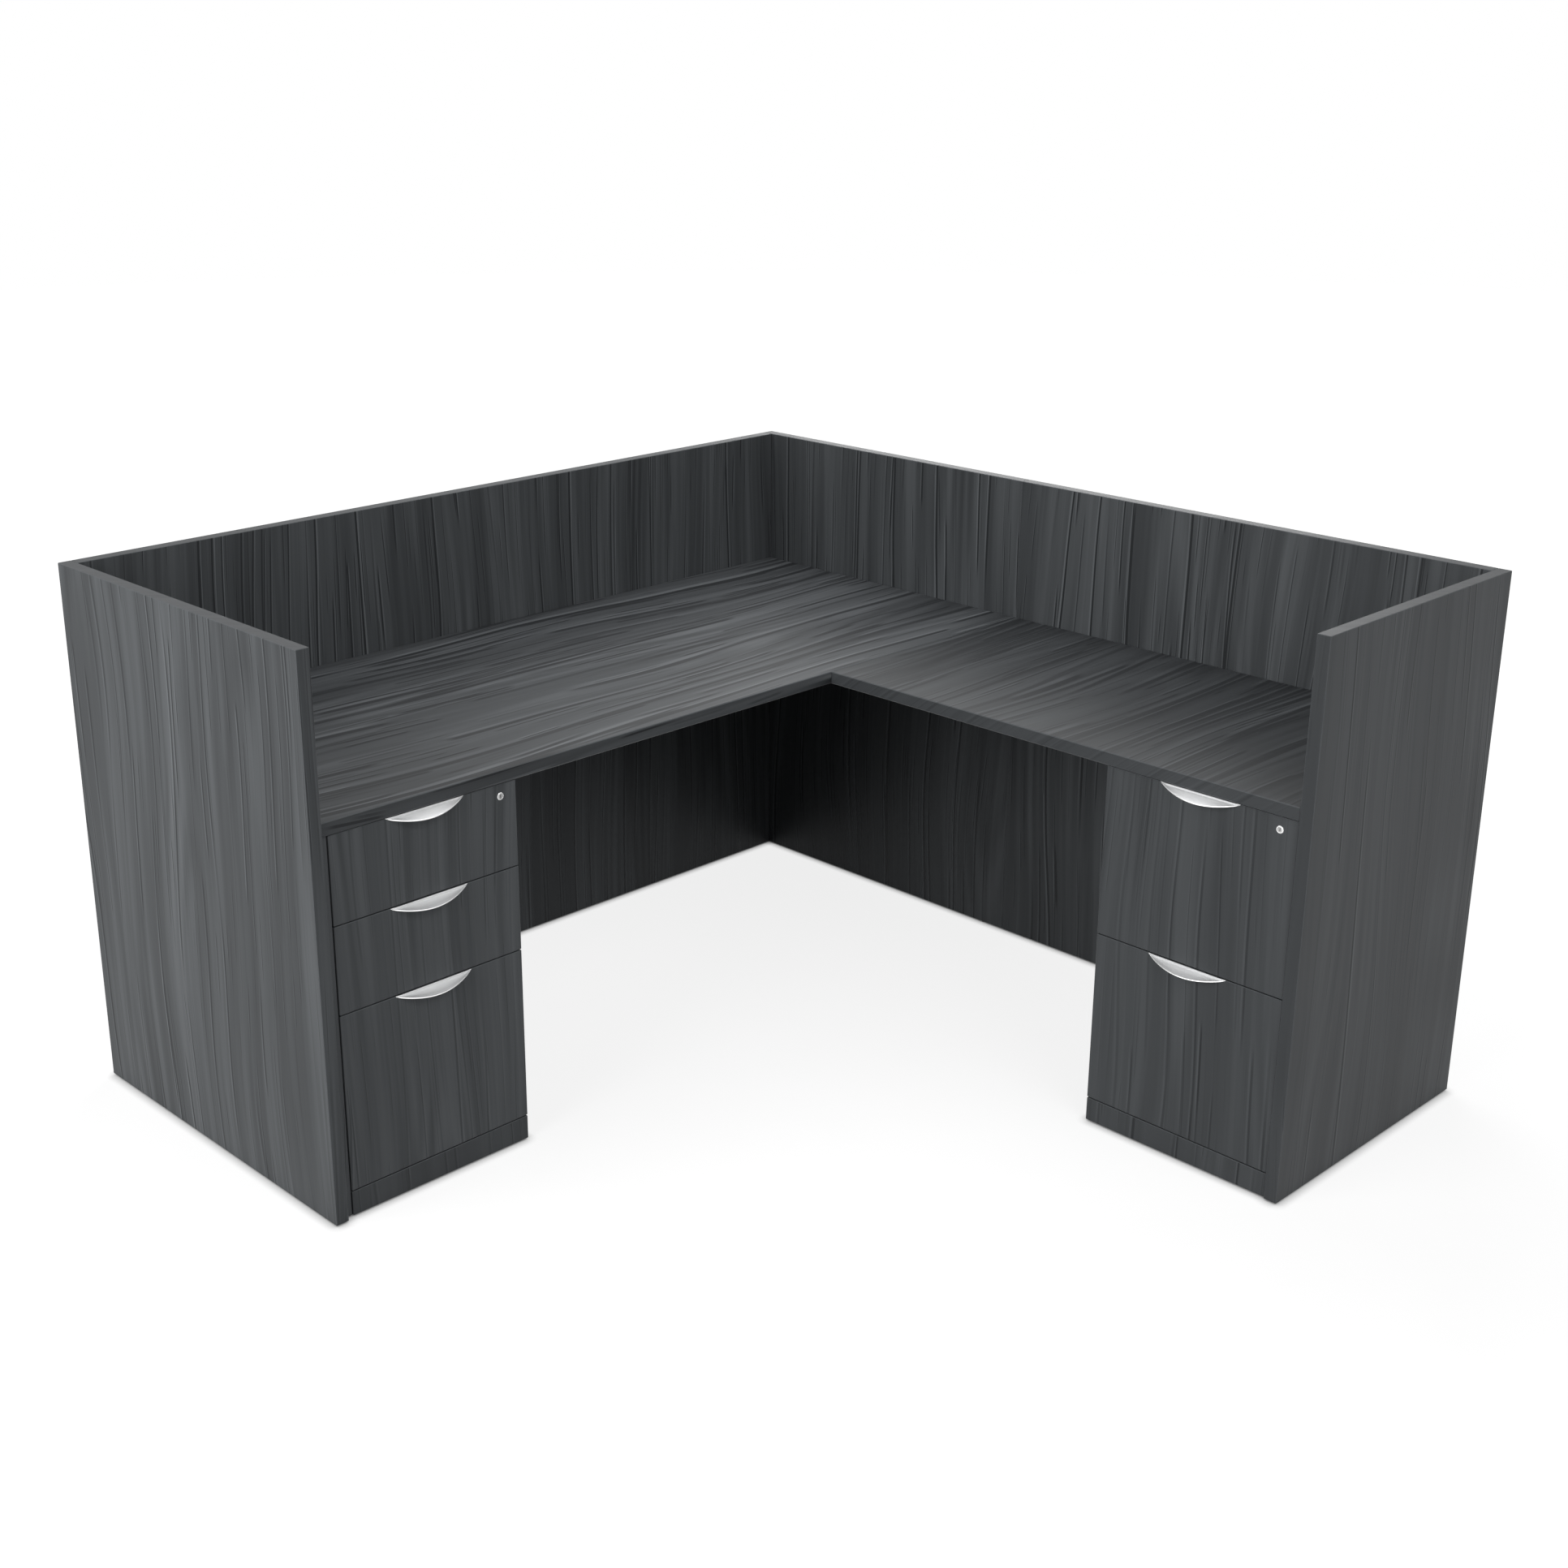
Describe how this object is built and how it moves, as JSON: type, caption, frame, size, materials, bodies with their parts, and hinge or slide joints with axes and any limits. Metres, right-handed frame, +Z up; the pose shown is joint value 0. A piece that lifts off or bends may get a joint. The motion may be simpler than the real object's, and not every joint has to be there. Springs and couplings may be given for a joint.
{
  "type": "corner office workstation",
  "caption": "L-shaped office workstation with raised panels, a main and a return worksurface, and drawer pedestals with crescent pulls on telescopic runners.",
  "frame": {"origin": "on the floor, at the middle of the overall length and depth", "axes": "+X to the right along the main worksurface, +Y to the rear, +Z up"},
  "size_m": [1.855, 1.886, 1.052],
  "materials": {
    "charcoal_laminate": "charcoal wood-grain laminate, grain upright, satin",
    "worksurface_laminate": "charcoal wood-grain laminate, grain along the main worksurface, satin",
    "drawer_melamine": "grey melamine, matt",
    "drawer_bottom_board": "grey faced hardboard, matt",
    "satin_nickel": "satin nickel plate, fine brushing along the pull",
    "runner_steel": "bright zinc plate",
    "lock_metal": "nickel plate, polished collar",
    "bracket_steel": "black powder coat",
    "glide_nylon": "black nylon"
  },
  "bodies": {
    "desk": {"left_end_panel": "charcoal_laminate", "main_back_panel": "charcoal_laminate", "right_end_panel": "charcoal_laminate", "return_back_panel": "charcoal_laminate", "return_end_panel": "charcoal_laminate", "main_worksurface": "worksurface_laminate", "return_worksurface": "worksurface_laminate", "worksurface_joining_plates": "bracket_steel", "worksurface_brackets": "bracket_steel", "levelling_glides": "glide_nylon", "left_pedestal_filler_strip": "charcoal_laminate", "left_pedestal_left_side": "charcoal_laminate", "left_pedestal_right_side": "charcoal_laminate", "left_pedestal_back": "charcoal_laminate", "left_pedestal_bottom": "charcoal_laminate", "left_pedestal_kick_rail": "charcoal_laminate", "left_pedestal_top_rails": "charcoal_laminate", "left_pedestal_runners": "runner_steel", "right_pedestal_left_side": "charcoal_laminate", "right_pedestal_right_side": "charcoal_laminate", "right_pedestal_back": "charcoal_laminate", "right_pedestal_bottom": "charcoal_laminate", "right_pedestal_kick_rail": "charcoal_laminate", "right_pedestal_top_rails": "charcoal_laminate", "right_pedestal_runners": "runner_steel"},
    "left_top_drawer": {"left_top_drawer_front": "charcoal_laminate", "left_top_drawer_box": "drawer_melamine", "left_top_drawer_bottom": "drawer_bottom_board", "left_top_drawer_pull": "satin_nickel", "left_top_drawer_runners": "runner_steel", "left_lock_barrel": "lock_metal"},
    "left_top_middle_runners": {"left_top_drawer_middle_runners": "runner_steel"},
    "left_middle_drawer": {"left_middle_drawer_front": "charcoal_laminate", "left_middle_drawer_box": "drawer_melamine", "left_middle_drawer_bottom": "drawer_bottom_board", "left_middle_drawer_pull": "satin_nickel", "left_middle_drawer_runners": "runner_steel"},
    "left_middle_middle_runners": {"left_middle_drawer_middle_runners": "runner_steel"},
    "left_file_drawer": {"left_file_drawer_front": "charcoal_laminate", "left_file_drawer_box": "drawer_melamine", "left_file_drawer_bottom": "drawer_bottom_board", "left_file_drawer_pull": "satin_nickel", "left_file_drawer_runners": "runner_steel"},
    "left_file_middle_runners": {"left_file_drawer_middle_runners": "runner_steel"},
    "right_top_file_drawer": {"right_top_file_drawer_front": "charcoal_laminate", "right_top_file_drawer_box": "drawer_melamine", "right_top_file_drawer_bottom": "drawer_bottom_board", "right_top_file_drawer_pull": "satin_nickel", "right_top_file_drawer_runners": "runner_steel", "right_lock_barrel": "lock_metal"},
    "right_top_file_middle_runners": {"right_top_file_drawer_middle_runners": "runner_steel"},
    "right_lower_file_drawer": {"right_lower_file_drawer_front": "charcoal_laminate", "right_lower_file_drawer_box": "drawer_melamine", "right_lower_file_drawer_bottom": "drawer_bottom_board", "right_lower_file_drawer_pull": "satin_nickel", "right_lower_file_drawer_runners": "runner_steel"},
    "right_lower_file_middle_runners": {"right_lower_file_drawer_middle_runners": "runner_steel"},
    "left_lock": {"left_lock_plug": "lock_metal"},
    "right_lock": {"right_lock_plug": "lock_metal"}
  },
  "joints": [
    {"name": "left_top_slide", "type": "slide", "parent": "desk", "child": "left_top_drawer", "axis": [0, -1, 0], "range_m": [0, 0.48]},
    {"name": "left_top_runner_slide", "type": "slide", "parent": "desk", "child": "left_top_middle_runners", "axis": [0, -1, 0], "range_m": [0, 0.24]},
    {"name": "left_middle_slide", "type": "slide", "parent": "desk", "child": "left_middle_drawer", "axis": [0, -1, 0], "range_m": [0, 0.48]},
    {"name": "left_middle_runner_slide", "type": "slide", "parent": "desk", "child": "left_middle_middle_runners", "axis": [0, -1, 0], "range_m": [0, 0.24]},
    {"name": "left_file_slide", "type": "slide", "parent": "desk", "child": "left_file_drawer", "axis": [0, -1, 0], "range_m": [0, 0.48]},
    {"name": "left_file_runner_slide", "type": "slide", "parent": "desk", "child": "left_file_middle_runners", "axis": [0, -1, 0], "range_m": [0, 0.24]},
    {"name": "right_top_file_slide", "type": "slide", "parent": "desk", "child": "right_top_file_drawer", "axis": [-1, 0, 0], "range_m": [0, 0.48]},
    {"name": "right_top_file_runner_slide", "type": "slide", "parent": "desk", "child": "right_top_file_middle_runners", "axis": [-1, 0, 0], "range_m": [0, 0.24]},
    {"name": "right_lower_file_slide", "type": "slide", "parent": "desk", "child": "right_lower_file_drawer", "axis": [-1, 0, 0], "range_m": [0, 0.48]},
    {"name": "right_lower_file_runner_slide", "type": "slide", "parent": "desk", "child": "right_lower_file_middle_runners", "axis": [-1, 0, 0], "range_m": [0, 0.24]},
    {"name": "left_lock_turn", "type": "hinge", "parent": "left_top_drawer", "child": "left_lock", "pos_m": [-0.5265, 0.165, 0.699], "axis": [0, 1, 0], "range_deg": [0, 90]},
    {"name": "right_lock_turn", "type": "hinge", "parent": "right_top_file_drawer", "child": "right_lock", "pos_m": [0.3205, -0.88, 0.699], "axis": [1, 0, 0], "range_deg": [0, 90]}
  ],
  "couplings": [
    {"joint": "left_top_runner_slide", "follows": "left_top_slide", "ratio": 0.5},
    {"joint": "left_middle_runner_slide", "follows": "left_middle_slide", "ratio": 0.5},
    {"joint": "left_file_runner_slide", "follows": "left_file_slide", "ratio": 0.5},
    {"joint": "right_top_file_runner_slide", "follows": "right_top_file_slide", "ratio": 0.5},
    {"joint": "right_lower_file_runner_slide", "follows": "right_lower_file_slide", "ratio": 0.5}
  ]
}
